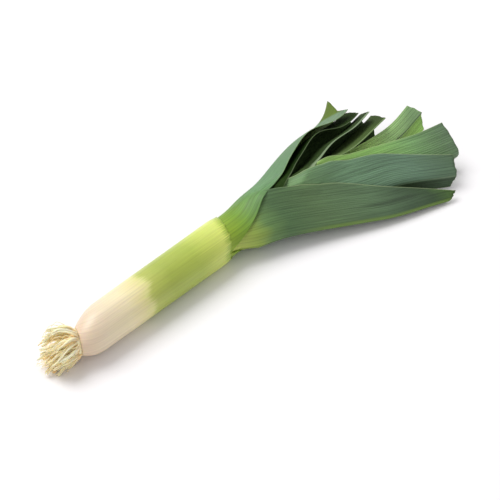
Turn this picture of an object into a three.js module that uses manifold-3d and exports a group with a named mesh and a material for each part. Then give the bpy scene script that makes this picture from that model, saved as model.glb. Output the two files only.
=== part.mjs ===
// A trimmed leek lying on its side: a white shaft of nested closed leaf sheaths on a basal plate with
// roots, and folded blades that leave the shaft alternately to the left and to the right and are cut short.
// Millimetres. +X runs from the roots to the blade tips, +Y is the leek's left side and +Z is up.
// The whole lies on z = 0 with its origin under the middle of its bounding box.
import * as THREE from "three";
import { mergeVertices } from "three/addons/utils/BufferGeometryUtils.js";
import Module from "manifold-3d";

const wasm = await Module();
wasm.setup();

// ---- Driving dimensions ----
const BASE_RADIUS = 18.6;       // shaft just above the rounded shoulder
const COLLAR_RADIUS = 19.6;     // shaft where the outer sheath is trimmed
const COLLAR_X = 168;
const FOOT_X = -6;              // the outer sheath starts here, on the basal plate
const SHOULDER_LENGTH = 26;     // the shaft rounds in to its foot over this length
const SHOULDER_FULLNESS = 2.4;
const SHOULDER_TOP_X = FOOT_X + SHOULDER_LENGTH;
const NECK_RADIUS = 11;         // outer sheath at its foot
const BASE_SLANT = 0.5;         // the plate sits askew: x per y at the foot, fading out along the shaft
const SLANT_FADE = [8, 60];
const SHELL_PITCH = 1.8;        // from one nested sheath to the next
const SHEATH_WALL = 1.4;
const KEEL_WALL = 1.7;          // blade thickness at its fold
const MARGIN_WALL = 0.9;        // blade thickness at its edges
const KEEL_ROUNDING = 3;        // how fast the rounded fold turns into the flat half
const SECTION_STEPS = 7;        // facets from keel to margin, odd so that one facet lies flat underneath
const PLATE_FACE_X = -9.5;      // root side of the basal plate
const PLATE_TOP_X = 5.4;        // leaf side of the plate, inside the outer sheath
const FOOT_STEP = 0.5;          // each leaf starts this much further up the plate than the one outside it
const CLEARANCE = 0.3;
const MOUTH_BLEND = 12;         // over this length past its mouth a slit tube becomes a blade
const BLADE_GIRTH = 0.9;        // share of the tube's half girth that a blade's half starts with
const FINE_PER_STEP = 4;
const FINE_STEPS = SECTION_STEPS * FINE_PER_STEP;
const STATION_PITCH = 4;        // spacing of the worked-out sections along the leek
const FIRST_STATION = STATION_PITCH * Math.floor(FOOT_X / STATION_PITCH);
const LIFT_REACH = 4;           // fine points that share a neighbour's lift
const LIFT_EASE = 0.14;         // share of a half's width, from the keel, over which its lift comes in
const MOST_SLOPE_ROOM = 2.2;
const OPENING_PITCH = 8;        // rows of facets where the sheaths open, in step on all leaves
const BLADES_PART_X = 256;      // from here on each blade follows its own cut
const BLADE_STATIONS = 5;
const COLLAR_LENGTH = 40;       // the outer sheath's trimmed edge is worked into this last stretch
const COLLAR_STATIONS = 3;
const FACET_ANGLE = Math.PI / (2 * SECTION_STEPS);
const HEART_TIP_X = 212;

const ROOT_COUNT = 80;
const ROOT_RADIUS = 1.05;
const ROOT_TAPER = 0.45;
const ROOT_STATIONS = 4;
const ROOT_LENGTH = 40;
const OUTER_ROOT_LOSS = 0.35;   // how much shorter the outermost roots are
const ROOT_SINK = 2;            // the roots start this deep inside the plate
const ROOT_DISC = 11;           // and on a disc of this radius
const ROOT_CROWN = 8;           // the plate's face bulges out by this much among the roots
const ROOT_FLARE = 1.05;        // outward lean of the outermost roots where they start, in radians
const ROOT_CURL = 1.2;          // above 1 the roots curl back in before they end
const ROOT_SAG = 3;
const GOLDEN_ANGLE = Math.PI * (3 - Math.sqrt(5));
const SEED = 20261;

// ---- Small helpers ----
const degrees = (value) => (value * Math.PI) / 180;
const clamp01 = (value) => Math.min(1, Math.max(0, value));

function smoothStep(from, to, value) {
  const t = clamp01((value - from) / (to - from));
  return t * t * (3 - 2 * t);
}

// A smooth curve through [place, value] keys: level before the first, straight on after the last.
function keyed(keys, place) {
  const last = keys.length - 1;
  const slope = (a, b) => (keys[b][1] - keys[a][1]) / (keys[b][0] - keys[a][0]);
  if (place <= keys[0][0]) return keys[0][1];
  if (place >= keys[last][0]) return keys[last][1] + slope(last - 1, last) * (place - keys[last][0]);
  let k = 0;
  while (place > keys[k + 1][0]) k += 1;
  const span = keys[k + 1][0] - keys[k][0];
  const t = (place - keys[k][0]) / span;
  const startSlope = k === 0 ? 0 : slope(k - 1, k + 1) * span;
  const endSlope = k + 1 === last ? slope(k, last) * span : slope(k, k + 2) * span;
  const t2 = t * t;
  const t3 = t2 * t;
  return (2 * t3 - 3 * t2 + 1) * keys[k][1] + (t3 - 2 * t2 + t) * startSlope
    + (3 * t2 - 2 * t3) * keys[k + 1][1] + (t3 - t2) * endSlope;
}

function straightBetween(keys, place) {
  if (place <= keys[0][0]) return keys[0][1];
  for (let k = 1; k < keys.length; k += 1) {
    if (place <= keys[k][0]) {
      const t = (place - keys[k - 1][0]) / (keys[k][0] - keys[k - 1][0]);
      return keys[k - 1][1] + t * (keys[k][1] - keys[k - 1][1]);
    }
  }
  return keys[keys.length - 1][1];
}

// ---- The shaft ----
// The fan of blades drifts a little to the right of the shaft's line.
const FAN_MIDDLE = [[150, 0], [230, -3], [300, -9], [400, -22]];

function shaftRadius(x) {
  const straight = BASE_RADIUS + (COLLAR_RADIUS - BASE_RADIUS) * clamp01(x / COLLAR_X);
  const t = clamp01((x - FOOT_X) / SHOULDER_LENGTH);
  return NECK_RADIUS + (straight - NECK_RADIUS) * (1 - (1 - t) ** SHOULDER_FULLNESS);
}
// Height of the shaft's middle line: the shaft's lowest facet lies on z = 0 past the shoulder.
function axisHeight(x) {
  return (BASE_RADIUS + (COLLAR_RADIUS - BASE_RADIUS) * clamp01(x / COLLAR_X)) * Math.cos(FACET_ANGLE);
}
const shellRadius = (shell, x) => shaftRadius(x) - shell * SHELL_PITCH;
const leafFootX = (shell) => PLATE_TOP_X + CLEARANCE + FOOT_STEP * shell;

// ---- Leaves, from the outside in ----
// Every row of keys is [x, out, height, upper angle, lower angle, upper width, lower width]:
// out is how far the keel lies from the fan's middle line, the angles say how steeply each half of the
// folded blade leaves the keel towards the middle, and the widths run from the keel to each margin.
// cut gives the x of the cut end from the lower margin (-1) over the keel (0) to the upper margin (1).
// The outer sheath is trimmed off before its mouth.
const LEAVES = [
  { name: "outer_sheath", look: [0xe9e3c0, 0.45], side: -1, shell: 0, mouth: 180, opens: [180, 200],
    keys: [[200, 20, 19, 90, 90, 60, 60]],
    cut: [[-1, 168], [-0.5, 163], [-0.28, 161], [-0.12, 154], [0, 152], [0.4, 160], [0.75, 167], [1, 168]] },
  { name: "leaf_left_1", look: [0x9db79b, 0.6], side: 1, shell: 1, mouth: 152, opens: [185, 250], keys: [
    [177, 17.8, 19, 90, 90, 45.5, 37], [200, 23, 20, 60, 50, 41.5, 40], [230, 30, 19, 40, 40, 38, 43],
    [262, 41, 18, 46, 35, 35, 40], [295, 50, 18, 52, 30, 34, 38], [325, 56, 17, 40, 27, 34, 37],
    [345, 65, 17, 34, 25, 37, 36], [362, 78, 17, 34, 20, 38, 34]],
    cut: [[-1, 350], [-0.1, 352], [0, 362], [0.25, 356], [0.45, 350], [0.6, 346], [1, 346]] },
  { name: "leaf_right_1", look: [0x7c9a86, 0.6], side: -1, shell: 2, mouth: 160, opens: [170, 240], keys: [
    [176, 24.5, 18, 75, 70, 44, 42], [200, 32, 17, 56, 35, 50, 40], [240, 49, 13, 36, 15, 44, 36],
    [268, 61, 10, 30, 10, 44, 34], [300, 73, 7, 28, 5, 33.5, 32], [355, 86, 3, 24, 2, 9.5, 28]],
    cut: [[-1, 330], [0, 350], [1, 359]] },
  { name: "leaf_left_2", look: [0x84a680, 0.55], side: 1, shell: 3, mouth: 176, opens: [200, 262], keys: [
    [223, 19.5, 19, 50, 55, 38, 40], [264, 32, 18, 48, 42, 34, 36], [300, 44, 18, 52, 38, 33, 34],
    [325, 48, 18, 34, 37, 32, 33], [342, 50, 18, 33, 36, 31.5, 32.5], [355, 52, 18, 40, 35, 31, 32]],
    cut: [[-1, 366], [0, 358], [1, 350]] },
  { name: "leaf_right_2", look: [0x7f9c88, 0.6], side: -1, shell: 4, mouth: 184, opens: [188, 255], keys: [
    [210, 21, 19, 58, 50, 44, 40], [245, 33, 18, 42, 60, 38, 30], [300, 46, 16, 36, 75, 36, 18],
    [325, 51, 15, 34, 82, 32, 14], [366, 69, 13, 30, 88, 24.5, 12.5]],
    cut: [[-1, 366], [0, 370], [1, 378]] },
  { name: "leaf_left_3", look: [0x8fb07a, 0.55], side: 1, shell: 5, mouth: 192, opens: [206, 270], keys: [
    [230, 10.5, 20, 58, 65, 40, 34], [256, 14, 20, 46, 50, 38, 34], [300, 27, 20, 47, 45, 34, 30],
    [330, 31, 20, 46, 42, 33, 29], [355, 38, 20, 48, 40, 30, 28]],
    cut: [[-1, 366], [0, 364], [1, 354]] },
  { name: "leaf_right_3", look: [0x86aa70, 0.55], side: -1, shell: 6, mouth: 200, opens: [205, 270], keys: [
    [230, 20, 20, 60, 60, 38, 34], [245, 25, 19, 52, 55, 37, 30], [300, 38, 18, 44, 52, 35, 26],
    [355, 49, 17, 40, 50, 33, 24], [390, 54, 17, 40, 50, 34, 24]],
    cut: [[-1, 382], [0, 390], [1, 391.5]] },
  { name: "leaf_left_4", look: [0x8fb272, 0.55], side: 1, shell: 7, mouth: 208, opens: [215, 280], keys: [
    [240, 9, 20, 60, 75, 35, 28], [300, 14, 20, 40, 55, 36, 28], [355, 28.5, 20, 38, 45, 35, 24],
    [371, 34, 20, 38, 40, 35, 22]],
    cut: [[-1, 362], [0, 371], [1, 358]] },
  { name: "leaf_right_4", look: [0x9abf6a, 0.5], side: -1, shell: 8, mouth: 216, opens: [222, 285], keys: [
    [245, 9, 20, 70, 80, 28, 20], [300, 9, 20, 50, 85, 16, 13], [356, 7, 20, 36, 130, 15, 12],
    [405, -7, 20, 36, 165, 16, 12.5]],
    cut: [[-1, 398], [0, 408], [1, 396]] },
];

const KEY = { out: 1, height: 2, upperAngle: 3, lowerAngle: 4, upperWidth: 5, lowerWidth: 6 };

// One driving value along a leaf, starting from what the closed sheath has.
function along(leaf, column, x, startX, startValue) {
  const keys = leaf.keys.filter((row) => row[0] > startX + MOUTH_BLEND).map((row) => [row[0], row[column]]);
  return keyed([[startX, startValue], ...keys], x);
}

function keelAt(leaf, x) {
  if (x <= leaf.mouth) return { out: shellRadius(leaf.shell, x), height: axisHeight(x) };
  return {
    out: along(leaf, KEY.out, x, leaf.mouth, shellRadius(leaf.shell, leaf.mouth)),
    height: along(leaf, KEY.height, x, leaf.mouth, axisHeight(leaf.mouth)),
  };
}

// FINE_STEPS + 1 points spread evenly along the first `reach` millimetres of a polyline.
function spread(points, reach) {
  const lengths = [0];
  for (let k = 1; k < points.length; k += 1) {
    const [dy, dz] = [points[k][0] - points[k - 1][0], points[k][1] - points[k - 1][1]];
    lengths.push(lengths[k - 1] + Math.hypot(dy, dz));
  }
  const end = Math.min(reach, lengths[lengths.length - 1]);
  const spreadPoints = [];
  let k = 1;
  for (let n = 0; n <= FINE_STEPS; n += 1) {
    const target = (end * n) / FINE_STEPS;
    while (k < lengths.length - 1 && lengths[k] < target) k += 1;
    const t = (target - lengths[k - 1]) / (lengths[k] - lengths[k - 1]);
    spreadPoints.push(points[k - 1].map((value, axis) => value + t * (points[k][axis] - value)));
  }
  return spreadPoints;
}

// The sheath's half section: an egg that reaches to the keel on one side and, on the far side, past the
// keel of the next leaf inside it.
function sheathHalf(out, farReach, radius, width) {
  const points = [];
  for (let k = 0; k <= 4 * FINE_STEPS; k += 1) {
    const angle = (Math.PI * k) / (4 * FINE_STEPS);
    const reach = angle < Math.PI / 2 ? out : farReach;
    points.push([reach * Math.cos(angle), radius * Math.sin(angle)]);
  }
  return spread(points, width);
}

// The open blade's half section: a rounded fold that runs out straight at the given angle.
function bladeHalf(out, angle, width) {
  const points = [[out, 0]];
  const step = width / FINE_STEPS;
  for (let k = 0; k < FINE_STEPS; k += 1) {
    const direction = angle + (Math.PI / 2 - angle) * Math.exp((-(k + 0.5) * step) / KEEL_ROUNDING);
    const [y, z] = points[k];
    points.push([y - Math.cos(direction) * step, z + Math.sin(direction) * step]);
  }
  return points;
}

// Half of a leaf's outer surface at x, as [y, z] points from keel to margin.
function halfSection(leaf, inner, x, upper) {
  const { out, height } = keelAt(leaf, x);
  const radius = shellRadius(leaf.shell, x);
  const farReach = inner ? Math.max(radius, keelAt(inner, x).out + SHELL_PITCH) : radius;
  const sheathWidth = Math.PI * radius;
  let width = Infinity;
  if (x > leaf.mouth) {
    const widthColumn = upper ? KEY.upperWidth : KEY.lowerWidth;
    const bladeWidth = along(leaf, widthColumn, x, leaf.mouth + MOUTH_BLEND, BLADE_GIRTH * sheathWidth);
    width = sheathWidth + (bladeWidth - sheathWidth) * smoothStep(leaf.mouth, leaf.mouth + MOUTH_BLEND, x);
  }
  let points = sheathHalf(out, farReach, radius, width);
  const opened = smoothStep(leaf.opens[0], leaf.opens[1], x);
  if (opened > 0) {
    const angleColumn = upper ? KEY.upperAngle : KEY.lowerAngle;
    const angle = degrees(along(leaf, angleColumn, x, leaf.mouth, 90));
    const blade = bladeHalf(out, angle, width);
    points = points.map(([y, z], k) => [y + (blade[k][0] - y) * opened, z + (blade[k][1] - z) * opened]);
  }
  const sign = upper ? 1 : -1;
  const middle = keyed(FAN_MIDDLE, x);
  return points.map(([y, z]) => [leaf.side * y + middle, height + sign * z]);
}

// Thickness from the outer surface inwards, thinner towards a blade's margins.
function wallAt(leaf, x, fraction) {
  const blade = KEEL_WALL + (MARGIN_WALL - KEEL_WALL) * fraction;
  return SHEATH_WALL + (blade - SHEATH_WALL) * smoothStep(leaf.opens[0], leaf.opens[1], x);
}

// Highest z of a polyline over a given y, or -Infinity beside it.
function heightOver(points, y) {
  let highest = -Infinity;
  for (let k = 1; k < points.length; k += 1) {
    const [y0, z0] = points[k - 1];
    const [y1, z1] = points[k];
    if (y0 !== y1 && (y - y0) * (y - y1) <= 0) {
      highest = Math.max(highest, z0 + ((y - y0) / (y1 - y0)) * (z1 - z0));
    }
  }
  return highest;
}

// Lifts a half section until it lies clear above what is under it, and spreads each lift to its
// neighbours so that the fold stays smooth. The keel itself stays where it is.
function layOver(points, supports, room) {
  const lifts = points.map(([y, z], k) => {
    const floor = Math.max(...supports.map((support) => heightOver(support, y)), -Infinity);
    return k === 0 ? 0 : Math.max(0, floor + room(k) - z);
  });
  return points.map(([y, z], k) => {
    const near = lifts.slice(Math.max(0, k - LIFT_REACH), k + LIFT_REACH + 1);
    return [y, z + Math.max(...near) * smoothStep(0, LIFT_EASE, k / (points.length - 1))];
  });
}

const slopeRoom = (points, k) => {
  const before = points[Math.max(0, k - 1)];
  const after = points[Math.min(points.length - 1, k + 1)];
  const run = Math.abs(after[0] - before[0]);
  return Math.min(MOST_SLOPE_ROOM, Math.hypot(run, after[1] - before[1]) / Math.max(run, 1e-6));
};

// Every leaf's section at x, shingled: upper halves lie on the leaves inside them, lower halves on the
// leaves outside them and on the ground.
function stackAt(x) {
  const present = LEAVES.filter((leaf) => x <= tipOf(leaf) + STATION_PITCH);
  const sections = new Map();
  const upperHalves = [];
  for (const leaf of [...present].reverse()) {
    let upper = halfSection(leaf, LEAVES[LEAVES.indexOf(leaf) + 1], x, true);
    if (x > leaf.mouth) {
      const room = (k) => CLEARANCE + wallAt(leaf, x, k / FINE_STEPS) * slopeRoom(upper, k);
      upper = layOver(upper, upperHalves, room);
    }
    upperHalves.push(upper);
    sections.set(leaf, { upper });
  }
  const linings = [];
  for (const leaf of present) {
    let lower = halfSection(leaf, LEAVES[LEAVES.indexOf(leaf) + 1], x, false);
    if (x > leaf.mouth) {
      lower = layOver(lower, linings, () => CLEARANCE);
      lower = lower.map(([y, z]) => [y, Math.max(0, z)]);
    }
    const lining = lower.map(([y, z], k) => [y, z + wallAt(leaf, x, k / FINE_STEPS) * slopeRoom(lower, k)]);
    linings.push(lining);
    sections.get(leaf).lower = lower;
  }
  return sections;
}

function tipOf(leaf) {
  return Math.max(...leaf.cut.map((key) => key[1]));
}

const LAST_STATION = Math.max(...LEAVES.map(tipOf));
const stacks = [];
for (let x = FIRST_STATION; x <= LAST_STATION + STATION_PITCH; x += STATION_PITCH) stacks.push(stackAt(x));

// Outer and inner surface points of a leaf at x, from the lower margin over the keel to the upper one,
// made fatter all round by swell.
function sectionAt(leaf, x, swell) {
  const place = (x - FIRST_STATION) / STATION_PITCH;
  const row = Math.min(Math.floor(place), stacks.length - 2);
  const t = place - row;
  const outer = [];
  const inside = [];
  for (let column = -SECTION_STEPS; column <= SECTION_STEPS; column += 1) {
    const half = column < 0 ? "lower" : "upper";
    const turn = column < 0 ? -leaf.side : leaf.side;
    const k = Math.abs(column) * FINE_PER_STEP;
    const at = (index) => {
      const near = stacks[row].get(leaf)[half][index];
      const far = (stacks[row + 1].get(leaf) ?? stacks[row].get(leaf))[half][index];
      return [near[0] + t * (far[0] - near[0]), near[1] + t * (far[1] - near[1])];
    };
    const [y, z] = at(k);
    const before = at(Math.max(0, k - 1));
    const after = at(Math.min(FINE_STEPS, k + 1));
    let [dy, dz] = [after[0] - before[0], after[1] - before[1]];
    if (k === 0) [dy, dz] = [0, column < 0 ? -1 : 1];
    if (k === FINE_STEPS && x <= leaf.mouth) [dy, dz] = [0, column < 0 ? 1 : -1];
    const length = turn * Math.hypot(dy, dz);
    const wall = wallAt(leaf, x, k / FINE_STEPS) + swell;
    const overhang = k === FINE_STEPS && x > leaf.mouth ? swell * turn : 0;
    const edgeY = y + (dy / length) * overhang;
    const edgeZ = z + (dz / length) * overhang;
    outer.push(new THREE.Vector3(x, edgeY + (dz / length) * swell, edgeZ - (dy / length) * swell));
    inside.push(new THREE.Vector3(x, edgeY - (dz / length) * wall, edgeZ + (dy / length) * wall));
  }
  return { outer, inside };
}

// Where a leaf's rows of facets start to follow its own cut end.
const freeFromX = (leaf) => (tipOf(leaf) > BLADES_PART_X ? BLADES_PART_X : COLLAR_X - COLLAR_LENGTH);

function leafStations(leaf) {
  const freeFrom = freeFromX(leaf);
  const stations = leaf.shell === 0
    ? [0, 0.07, 0.18, 0.36].map((share) => FOOT_X + share * SHOULDER_LENGTH)
    : [leafFootX(leaf.shell)];
  stations.push(FOOT_X + 0.68 * SHOULDER_LENGTH, SHOULDER_TOP_X);
  if (leaf.shell > 0) stations.push(FAN_MIDDLE[0][0]);
  for (let x = leaf.mouth; x < freeFrom; x += OPENING_PITCH) stations.push(x);
  const steps = leaf.shell === 0 ? COLLAR_STATIONS : BLADE_STATIONS;
  for (let k = 0; k <= steps; k += 1) stations.push(freeFrom + ((tipOf(leaf) - freeFrom) * k) / steps);
  return stations;
}

// A leaf as one closed solid: closed tube up to its mouth, folded blade beyond it, ragged cut end.
function leafGeometry(leaf, swell = 0) {
  const tip = tipOf(leaf);
  const freeFrom = freeFromX(leaf);
  const stations = leafStations(leaf);
  const columns = 2 * SECTION_STEPS + 1;
  const outer = [];
  const inside = [];
  for (const station of stations) {
    const outerRow = [];
    const insideRow = [];
    for (let column = 0; column < columns; column += 1) {
      let x = station;
      if (station > freeFrom) {
        const cutX = straightBetween(leaf.cut, column / SECTION_STEPS - 1);
        x = freeFrom + ((station - freeFrom) * (cutX - freeFrom)) / (tip - freeFrom);
      }
      const section = sectionAt(leaf, x, swell);
      outerRow.push(section.outer[column]);
      insideRow.push(section.inside[column]);
    }
    outer.push(outerRow);
    inside.push(insideRow);
  }
  const corners = [];
  const face = (...quad) => {
    const [a, b, c, d] = leaf.side > 0 ? quad.reverse() : quad;
    corners.push(a, b, c, a, c, d);
  };
  const last = stations.length - 1;
  const end = columns - 1;
  for (let row = 0; row < last; row += 1) {
    for (let column = 0; column < end; column += 1) {
      face(outer[row][column], outer[row + 1][column], outer[row + 1][column + 1], outer[row][column + 1]);
      face(
        inside[row][column], inside[row][column + 1],
        inside[row + 1][column + 1], inside[row + 1][column],
      );
    }
    if (stations[row] >= leaf.mouth) {
      face(outer[row][0], inside[row][0], inside[row + 1][0], outer[row + 1][0]);
      face(outer[row][end], outer[row + 1][end], inside[row + 1][end], inside[row][end]);
    }
  }
  for (let column = 0; column < end; column += 1) {
    face(outer[0][column], outer[0][column + 1], inside[0][column + 1], inside[0][column]);
    face(outer[last][column], inside[last][column], inside[last][column + 1], outer[last][column + 1]);
  }
  return mergeVertices(new THREE.BufferGeometry().setFromPoints(corners), 1e-3);
}

// ---- Solids ----
const toSolid = (geometry) => new wasm.Manifold(new wasm.Mesh({
  numProp: 3,
  vertProperties: geometry.attributes.position.array,
  triVerts: geometry.index.array,
}));

// The biggest body of a solid, as a geometry again.
function toGeometry(solid) {
  const bodies = solid.decompose().sort((a, b) => b.volume() - a.volume());
  const mesh = bodies[0].getMesh();
  const geometry = new THREE.BufferGeometry();
  geometry.setAttribute("position", new THREE.BufferAttribute(mesh.vertProperties, mesh.numProp));
  geometry.setIndex(new THREE.BufferAttribute(mesh.triVerts, 1));
  return geometry;
}

// A leaf, pared back wherever it would press into the two leaves outside it.
function paredLeaf(leaf, index) {
  let solid = toSolid(leafGeometry(leaf));
  for (const outer of LEAVES.slice(Math.max(0, index - 2), index)) {
    solid = solid.subtract(toSolid(leafGeometry(outer, CLEARANCE)));
  }
  return toGeometry(solid);
}

// A body of revolution about the leek's middle line, from [x, radius] points.
function turned(profile, sides, height) {
  const points = profile.map(([x, radius]) => new THREE.Vector2(radius, x));
  const geometry = new THREE.LatheGeometry(points, sides);
  geometry.rotateZ(-Math.PI / 2);
  geometry.translate(0, 0, height);
  geometry.deleteAttribute("normal");
  geometry.deleteAttribute("uv");
  return mergeVertices(geometry, 1e-3);
}

// ---- Basal plate and roots ----
let randomState = SEED;
function random() {
  randomState = (randomState * 1664525 + 1013904223) % 4294967296;
  return randomState / 4294967296;
}
const between = (low, high) => low + (high - low) * random();

// One root: a tapering closed strand through the points.
function strand(points, radius) {
  const curve = new THREE.CatmullRomCurve3(points);
  const rings = [];
  for (let row = 0; row <= ROOT_STATIONS; row += 1) {
    const t = row / ROOT_STATIONS;
    const at = curve.getPoint(t);
    const tangent = curve.getTangent(t);
    const across = new THREE.Vector3(0, 0, 1).cross(tangent).normalize();
    const up = tangent.clone().cross(across);
    const size = radius * (1 - ROOT_TAPER * t);
    rings.push([0, 1, 2, 3].map((side) => {
      const turn = (Math.PI / 2) * side;
      const corner = at.clone().addScaledVector(across, size * Math.cos(turn));
      return corner.addScaledVector(up, size * Math.sin(turn));
    }));
  }
  const corners = [];
  for (let row = 0; row < ROOT_STATIONS; row += 1) {
    for (let side = 0; side < 4; side += 1) {
      const next = (side + 1) % 4;
      const [a, b, c, d] = [rings[row][side], rings[row][next], rings[row + 1][next], rings[row + 1][side]];
      corners.push(a, b, c, a, c, d);
    }
  }
  const [a, b, c, d] = rings[0];
  const [e, f, g, h] = rings[ROOT_STATIONS];
  corners.push(a, c, b, a, d, c, e, f, g, e, g, h);
  return mergeVertices(new THREE.BufferGeometry().setFromPoints(corners), 1e-3);
}

// A root leaves the plate's face, bends outwards the more the further out it starts, and curls back in.
// Roots that would go through the ground lie on it.
function root(index) {
  const share = Math.sqrt((index + 0.5) / ROOT_COUNT);
  const bearing = index * GOLDEN_ANGLE + between(-0.3, 0.3);
  const length = ROOT_LENGTH * between(0.76, 1) * (1 - OUTER_ROOT_LOSS * share);
  const lean = ROOT_FLARE * share + between(-0.12, 0.12);
  const swirl = between(-0.35, 0.35);
  const step = length / ROOT_STATIONS;
  let reach = -ROOT_SINK;
  let radius = ROOT_DISC * share;
  const points = [];
  for (let k = 0; k <= ROOT_STATIONS; k += 1) {
    const t = k / ROOT_STATIONS;
    const turn = bearing + swirl * t;
    const z = axisHeight(0) + radius * Math.sin(turn) - ROOT_SAG * t * t;
    points.push(new THREE.Vector3(-reach, radius * Math.cos(turn), Math.max(ROOT_RADIUS, z)));
    reach += step * Math.cos(lean * (1 - ROOT_CURL * t));
    radius += step * Math.sin(lean * (1 - ROOT_CURL * t));
  }
  return strand(points, ROOT_RADIUS * between(0.85, 1.1));
}

// The plate fills the foot of the sheaths, and the roots grow from the low dome on its face.
function plateWithRoots() {
  const bore = (x) => (shaftRadius(x) - SHEATH_WALL - 2 * CLEARANCE) * Math.cos(FACET_ANGLE);
  const plate = turned([
    [PLATE_FACE_X, 0],
    [PLATE_FACE_X, ROOT_DISC],
    [FOOT_X - 2 * CLEARANCE, NECK_RADIUS],
    [FOOT_X - CLEARANCE, bore(FOOT_X)],
    [(FOOT_X + PLATE_TOP_X) / 2, bore((FOOT_X + PLATE_TOP_X) / 2)],
    [PLATE_TOP_X, bore(PLATE_TOP_X)],
    [PLATE_TOP_X, 0],
  ], 2 * SECTION_STEPS, axisHeight(0));
  const crown = turned([
    [-ROOT_CROWN, 0],
    [-ROOT_CROWN, ROOT_DISC * 0.35],
    [-ROOT_CROWN * 0.5, ROOT_DISC * 0.8],
    [0, ROOT_DISC],
    [ROOT_SINK, ROOT_DISC],
    [ROOT_SINK, 0],
  ], 2 * SECTION_STEPS, axisHeight(0));
  let brush = toSolid(crown);
  for (let index = 0; index < ROOT_COUNT; index += 1) brush = brush.add(toSolid(root(index)));
  const face = brush.rotate([0, 0, -Math.atan(BASE_SLANT) / degrees(1)]).translate([PLATE_FACE_X, 0, 0]);
  return toGeometry(toSolid(slanted(plate)).add(face));
}

// The youngest leaf, still rolled up solid inside the others.
function heartGeometry() {
  const shell = LEAVES[LEAVES.length - 1].shell + 1;
  const foot = leafFootX(shell);
  const profile = [
    [foot, 0],
    [foot, shellRadius(shell, foot) - CLEARANCE],
    [SHOULDER_TOP_X, shellRadius(shell, SHOULDER_TOP_X) - CLEARANCE],
    [FAN_MIDDLE[0][0], shellRadius(shell, FAN_MIDDLE[0][0]) - 2 * CLEARANCE],
    [HEART_TIP_X, 0],
  ];
  const rise = (axisHeight(COLLAR_X) - axisHeight(0)) / COLLAR_X;
  const geometry = turned(profile, 2 * SECTION_STEPS, axisHeight(0));
  return geometry.applyMatrix4(new THREE.Matrix4().makeShear(0, rise, 0, 0, 0, 0));
}

// The foot of the leek leans: what is at the left starts further along than what is at the right.
function slanted(geometry) {
  const places = geometry.attributes.position;
  for (let k = 0; k < places.count; k += 1) {
    const x = places.getX(k);
    places.setX(k, x + BASE_SLANT * places.getY(k) * (1 - smoothStep(...SLANT_FADE, x)));
  }
  return geometry;
}

// ---- The leek ----
const material = (color, roughness) => new THREE.MeshStandardMaterial({ color, roughness, metalness: 0 });
const leek = new THREE.Group();

function addPart(name, geometry, look) {
  const mesh = new THREE.Mesh(geometry, look);
  mesh.name = name;
  leek.add(mesh);
}

addPart("basal_plate_and_roots", plateWithRoots(), material(0xd8be8a, 0.8));
LEAVES.forEach((leaf, index) => {
  addPart(leaf.name, slanted(paredLeaf(leaf, index)), material(...leaf.look));
});
addPart("heart_leaf", slanted(heartGeometry()), material(0xe6e3a2, 0.5));

const box = new THREE.Box3().setFromObject(leek);
const middle = box.getCenter(new THREE.Vector3());
leek.position.set(-middle.x, -middle.y, -box.min.z);

const group = new THREE.Group();
group.name = "leek";
group.add(leek);

export default group;
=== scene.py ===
"""A trimmed leek lying on its side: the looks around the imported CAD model.

Leaves are worked out in millimetres along the leek: x from the root plate to the leaf tips, y to the leek's
left, z up from the table. place() turns that into the frame's metres.
"""

import math
import random

import bmesh
import bpy
import numpy as np
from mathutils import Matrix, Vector


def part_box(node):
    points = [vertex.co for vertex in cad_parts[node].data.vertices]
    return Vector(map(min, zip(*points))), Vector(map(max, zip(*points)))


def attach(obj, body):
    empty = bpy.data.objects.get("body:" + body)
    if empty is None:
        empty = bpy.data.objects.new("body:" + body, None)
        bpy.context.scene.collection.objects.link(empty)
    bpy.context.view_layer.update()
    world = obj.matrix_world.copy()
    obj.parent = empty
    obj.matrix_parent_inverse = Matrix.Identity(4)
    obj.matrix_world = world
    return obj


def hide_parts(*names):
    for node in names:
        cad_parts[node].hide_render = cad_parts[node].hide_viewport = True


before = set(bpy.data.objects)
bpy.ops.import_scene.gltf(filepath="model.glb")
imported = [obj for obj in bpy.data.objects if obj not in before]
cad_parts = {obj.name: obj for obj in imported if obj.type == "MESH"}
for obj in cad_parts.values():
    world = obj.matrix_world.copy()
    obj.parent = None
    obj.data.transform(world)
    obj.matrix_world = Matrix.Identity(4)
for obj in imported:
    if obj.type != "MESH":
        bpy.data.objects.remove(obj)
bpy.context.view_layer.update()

MM = 0.001

# ---- Driving dimensions, the same as the solids have ----
BASE_RADIUS = 18.6        # shaft just above the rounded shoulder
COLLAR_RADIUS = 19.6      # shaft where the outer sheath is trimmed
COLLAR_X = 168
FOOT_X = -6               # the outer sheath starts here, on the basal plate
SHOULDER_LENGTH = 26
SHOULDER_FULLNESS = 2.4
NECK_RADIUS = 11
BASE_SLANT = 0.5          # the plate sits askew: x per y at the foot, fading out along the shaft
SLANT_FADE = (8, 60)
SHELL_PITCH = 1.8         # from one nested sheath to the next
SHEATH_WALL = 1.4
KEEL_WALL = 1.7
MARGIN_WALL = 0.5         # a blade's edge is finer than the solid's
KEEL_ROUNDING = 3
FACET_ANGLE = math.pi / 14
PLATE_FACE_X = -9.5
PLATE_TOP_X = 5.4
CLEARANCE = 0.3
FOOT_STEP = 0.5           # each leaf starts this much further up the plate than the one outside it
MOUTH_BLEND = 12          # over this length past its mouth a slit tube becomes a blade
BLADE_GIRTH = 0.9
MOST_SLOPE_ROOM = 2.2
FAN_MIDDLE = [[150, 0], [230, -3], [300, -9], [400, -22]]  # the fan drifts a little to the right
HEART_TAPER_X = 150       # from here the rolled heart leaf thins
HEART_NECK = (200, 0.8)   # to this radius, x first
HEART_TIP_X = 212

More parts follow.
